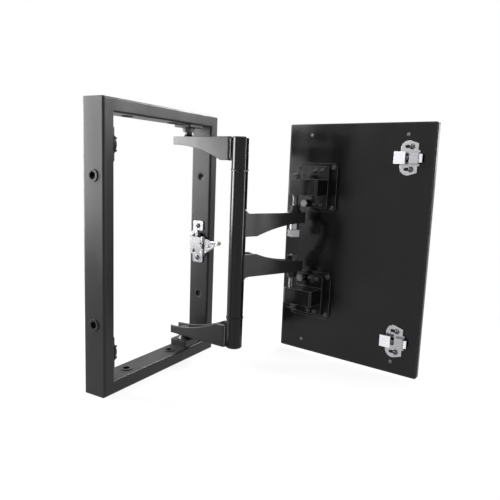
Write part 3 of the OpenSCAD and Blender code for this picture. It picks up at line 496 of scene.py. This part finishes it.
FINISHES = {
    "frame_paint": black_paint("frame_paint", 0.006, 0.36, 0.26, edge=2.0, edge_wear_and_highlight=0.12, dull=0.25,
                               dust=0.015, mitred=True),
    "sleeve_black": black_paint("sleeve_black", 0.004, 0.45, 0.2, edge=0.5, edge_wear_and_highlight=0.6),
    "pivot_black": black_paint("pivot_black", 0.006, 0.28, 0.35, edge=0.6, edge_wear_and_highlight=0.4),
    "nut_grey": plated_steel("nut_grey", 0.09, 0.45, tarnish=0.5),
    "latch_zinc": plated_steel("latch_zinc", 0.32, 0.26, tarnish=0.4),
    "pin_steel": plated_steel("pin_steel", 0.5, 0.25, grain=2400.0),
    "spring_steel": plated_steel("spring_steel", 0.09, 0.3),
    "screw_zinc": plated_steel("screw_zinc", 0.12, 0.2, tarnish=0.4, edge=0.3, shade_amount=1.0),
    "screw_dark": plated_steel("screw_dark", 0.1, 0.25, tarnish=0.4, edge=0.3, shade_amount=1.0),
    "rivet_steel": plated_steel("rivet_steel", 0.16, 0.35, tarnish=0.4, edge=0.3),
    "keeper_black": black_paint("keeper_black", 0.005, 0.3, 0.3, edge=0.6),
    "screw_black": black_paint("screw_black", 0.002, 0.12, 0.45, edge=0.5, edge_wear_and_highlight=0.9),
    "arm_paint": black_paint("arm_paint", 0.007, 0.34, 0.29, edge=1.8, edge_wear_and_highlight=0.1, dull=0.5,
                             dust=0.015),
    "bush_bronze": sintered_bronze("bush_bronze"),
    "post_paint": black_paint("post_paint", 0.004, 0.13, 0.22, peel=420.0, edge_wear_and_highlight=0.15),
    "washer_black": black_paint("washer_black", 0.003, 0.4, 0.2, peel=2400.0, edge=0.2, edge_wear_and_highlight=0.05),
    "panel_paint": black_paint("panel_paint", 0.005, 0.15, 0.22, peel=300.0, depth=0.04, edge=1.0),
    "panel_back_paint": black_paint("panel_back_paint", 0.004, 0.13, 0.25, peel=300.0, depth=0.04,
                                    edge=1.8),
    "core_board": fibre_board("core_board"),
    "bracket_black": black_paint("bracket_black", 0.003, 0.14, 0.28, edge=0.8, edge_wear_and_highlight=0.8),
    "stud_zinc": plated_steel("stud_zinc", 0.3, 0.13),
    "strike_zinc": plated_steel("strike_zinc", 0.45, 0.25, tarnish=0.35),
    "bolt_bright": plated_steel("bolt_bright", 0.85, 0.22, tarnish=0.1),
    "ball_nylon": dull_plastic("ball_nylon", 0.4, 0.4, 0.9),
}
for entry in record["subparts"]:
    mesh = nodes[entry["node"]].data
    for i in range(len(mesh.materials)):
        mesh.materials[i] = FINISHES[entry["material_slot"]]


# Small visible forms: threads, coils, welds and lips

JOINTS = {joint["name"]: joint for joint in record["behaviour"]["joints"]}


def joint_place(name):
    """A hinge's axis in plan."""
    place = Vector(JOINTS[name]["pos_m"])
    return Vector((place.x, place.y, 0))


def finish_piece(name, shape, body, slot, stands_for=()):
    """Makes a mesh a smooth piece that rides on a body and takes a slot's finish."""
    bmesh.ops.recalc_face_normals(shape, faces=shape.faces)
    mesh = bpy.data.meshes.new(name)
    shape.to_mesh(mesh)
    shape.free()
    mesh.shade_smooth()
    mesh.set_sharp_from_angle(angle=math.radians(45))
    mesh.materials.append(FINISHES[slot])
    piece = bpy.data.objects.new(name, mesh)
    bpy.context.collection.objects.link(piece)
    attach(piece, body)
    if stands_for:
        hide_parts(*stands_for)


def cap_open_ends(shape):
    """Closes the open rims of a swept shape."""
    open_edges = [edge for edge in shape.edges if edge.is_boundary]
    bmesh.ops.edgeloop_fill(shape, edges=open_edges)


def add_threaded_stud(node):
    """A stud threaded from end to end, cut square to the length of the solid one."""
    pitch, thread_depth, steps = 1.5 * MM, 0.915 * MM, 24
    crest_start, crest_end = 0.42, 0.58
    low, high = (Vector(corner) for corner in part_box(node))
    middle = (low + high) / 2
    crest = (high.x - low.x) / 2
    root = crest - thread_depth
    turns = math.ceil((high.z - low.z) / pitch) + 2
    shape = bmesh.new()
    tooth = [(root, 0), (crest, crest_start), (crest, crest_end), (root, 1)]
    corners = [shape.verts.new((middle.x + r, middle.y, low.z + (z - 1) * pitch)) for r, z in tooth]
    edges = [shape.edges.new(pair) for pair in zip(corners, corners[1:])]
    bmesh.ops.spin(shape, geom=corners + edges, cent=middle, axis=UP, angle=2 * math.pi * turns,
                   steps=steps * turns, dvec=UP * pitch / steps)
    bmesh.ops.remove_doubles(shape, verts=shape.verts, dist=0.01 * MM)
    for height, end in ((low.z, -UP), (high.z, UP)):
        everything = shape.verts[:] + shape.edges[:] + shape.faces[:]
        bmesh.ops.bisect_plane(shape, geom=everything, plane_co=(0, 0, height), plane_no=end,
                               clear_outer=True)
    cap_open_ends(shape)
    finish_piece(node + "_thread", shape, "panel", "stud_zinc", (node,))


def wind_coil(shape, start, axis, across, length, radius, wire, turns, steps=20):
    """A coil of wire along axis from start. across is square to the axis; sizes are in metres."""
    along = axis.cross(across)
    lay = Matrix((across, axis, along)).transposed().to_4x4()
    lay.translation = start + across * radius
    ring = bmesh.ops.create_circle(shape, segments=8, radius=wire / 2, matrix=lay)["verts"]
    edges = list({edge for vert in ring for edge in vert.link_edges})
    bmesh.ops.spin(shape, geom=ring + edges, cent=start, axis=axis, angle=2 * math.pi * turns,
                   steps=steps * turns, dvec=axis * length / (steps * turns))


def add_latch_coil():
    """The latch's torsion spring, wound from wire."""
    low, high = (Vector(corner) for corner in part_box("latch_spring"))
    middle = (low + high) / 2
    outer = (high.x - low.x) / 2
    wire = 1.5 * MM
    shape = bmesh.new()
    wind_coil(shape, Vector((middle.x, middle.y, low.z + wire / 2)), UP, Vector((1, 0, 0)),
              high.z - low.z - wire, outer - wire / 2, wire, turns=6)
    cap_open_ends(shape)
    finish_piece("latch_coil", shape, "frame", "spring_steel", ("latch_spring",))


def add_strike_coils():
    """The fine springs that push the bolts out, inside the strikes."""
    low, high = (Vector(corner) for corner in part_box("strike_springs"))
    slide = Vector(JOINTS["upper_bolt_slide"]["axis"])
    across = UP.cross(slide)
    wire, outer = 0.6 * MM, 1.35 * MM
    length = (high.y - low.y) / slide.y - 4 * wire
    shape = bmesh.new()
    for height in (low.z + outer, high.z - outer):
        start = Vector(((low.x + high.x) / 2, (low.y + high.y) / 2, height)) - slide * length / 2
        wind_coil(shape, start, slide, across, length, outer - wire / 2, wire, turns=9, steps=14)
    cap_open_ends(shape)
    finish_piece("strike_coils", shape, "panel", "spring_steel", ("strike_springs",))


def add_stem_coil(level):
    """The small dark spring around a bolt's stem, between the bridge and the thumb plate."""
    nose, riser_end, stem_low, stem_middle = 22 * MM, 5 * MM, 5 * MM, 6.5 * MM
    wire, radius, length, lead = 1.1 * MM, 3.2 * MM, 4.2 * MM, 2.5 * MM
    low, high = (Vector(corner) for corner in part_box(level + "_strike_bolt"))
    slide = Vector(JOINTS[level + "_bolt_slide"]["axis"])
    off_panel = UP.cross(slide)
    foot = Vector((high.x - riser_end * slide.x - stem_low * off_panel.x,
                   low.y + nose * slide.y - stem_low * off_panel.y, (low.z + high.z) / 2))
    start = foot + off_panel * stem_middle - slide * lead
    shape = bmesh.new()
    wind_coil(shape, start, slide, UP, length, radius, wire, turns=4)
    cap_open_ends(shape)
    finish_piece(level + "_stem_coil", shape, level + "_bolt", "spring_steel")


def lay_bead(shape, points, radius):
    """A weld bead through points, with the ripple of its puddles and tapered ends."""
    taper, ripple = 0.45, 0.8
    loops = []
    for i, point in enumerate(points):
        run = points[min(i + 1, len(points) - 1)] - points[max(i - 1, 0)]
        at_end = i in (0, len(points) - 1)
        size = radius * (taper if at_end else ripple if i % 2 else 1.0)
        lay = Matrix.Translation(point) @ run.to_track_quat("Z", "Y").to_matrix().to_4x4()
        ring = bmesh.ops.create_circle(shape, segments=10, radius=size, matrix=lay)["verts"]
        loops.append(list({edge for vert in ring for edge in vert.link_edges}))
    for first, second in zip(loops, loops[1:]):
        bmesh.ops.bridge_loops(shape, edges=first + second)


def add_crease_welds(arm):
    """The two upright welds that fill the creases between a frame arm's rounded end and the post."""
    low, high = (Vector(corner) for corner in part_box(arm))
    post_low, post_high = (Vector(corner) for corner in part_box("post_tube"))
    post_radius = (post_high.x - post_low.x) / 2
    root = joint_place("post_swivel")
    run = (joint_place("link_swing") - root).normalized()
    side = UP.cross(run)
    crease_out, crease_aside = 0.84 * post_radius, 0.76 * post_radius
    bead, inset, puddles = 1.8 * MM, 2 * MM, 26
    rise = high.z - low.z - 2 * inset
    shape = bmesh.new()
    for hand in (-1, 1):
        foot = root + run * crease_out + side * hand * crease_aside
        points = [foot + UP * (low.z + inset + rise * i / puddles) for i in range(puddles + 1)]
        lay_bead(shape, points, bead)
    cap_open_ends(shape)
    finish_piece(arm + "_welds", shape, "link", "nut_grey")


def add_notch_coil():
    """A black wire coil that fills the notch over the latch's knuckles and makes that notch dark."""
    wire, radius, height, inset = 1.8 * MM, 3.4 * MM, 8 * MM, 13 * MM
    low, high = (Vector(corner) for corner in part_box("latch_plate"))
    pin_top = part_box("latch_pin")[1][2]
    start = Vector((high.x - radius - wire / 2, low.y + inset, pin_top - wire))
    shape = bmesh.new()
    wind_coil(shape, start, UP, Vector((0, -1, 0)), height, radius, wire, turns=6)
    cap_open_ends(shape)
    finish_piece("latch_notch_coil", shape, "frame", "screw_black")


def add_keeper_lip(keeper):
    """The rounded lip between a keeper's jaws, which the bolt's nose rides over and snaps behind."""
    half_height, thickness, edge = 9.5 * MM, 1.3 * MM, 0.4 * MM
    low, high = (Vector(corner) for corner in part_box(keeper))
    root = Vector((low.x, low.y, (low.z + high.z) / 2))
    flatness = (high.x - low.x) / half_height
    shape = bmesh.new()
    heel = shape.verts.new(root - UP * half_height)
    bmesh.ops.spin(shape, geom=[heel], cent=root, axis=(0, -1, 0), angle=math.pi, steps=14)
    bmesh.ops.scale(shape, verts=shape.verts, vec=(flatness, 1, 1), space=Matrix.Translation(-root))
    face = shape.faces.new(shape.verts)
    raised = bmesh.ops.extrude_face_region(shape, geom=[face])["geom"]
    back = [vert for vert in raised if isinstance(vert, bmesh.types.BMVert)]
    bmesh.ops.translate(shape, verts=back, vec=(0, thickness, 0))
    rims = [rim for rim in shape.edges if abs(rim.verts[0].co.y - rim.verts[1].co.y) < thickness / 2]
    bmesh.ops.bevel(shape, geom=rims, offset=edge, offset_type="OFFSET", segments=2, profile=0.5,
                    affect="EDGES", material=-1)
    finish_piece(keeper + "_lip", shape, "frame", "keeper_black")


for stud in ("upper_hinge_stud", "lower_hinge_stud"):
    add_threaded_stud(stud)
add_latch_coil()
add_notch_coil()
add_strike_coils()
for level in ("upper", "lower"):
    add_crease_welds(level + "_frame_arm")
    add_keeper_lip(level + "_keeper")
    add_stem_coil(level)


bpy.context.scene.view_settings.view_transform = "Standard"
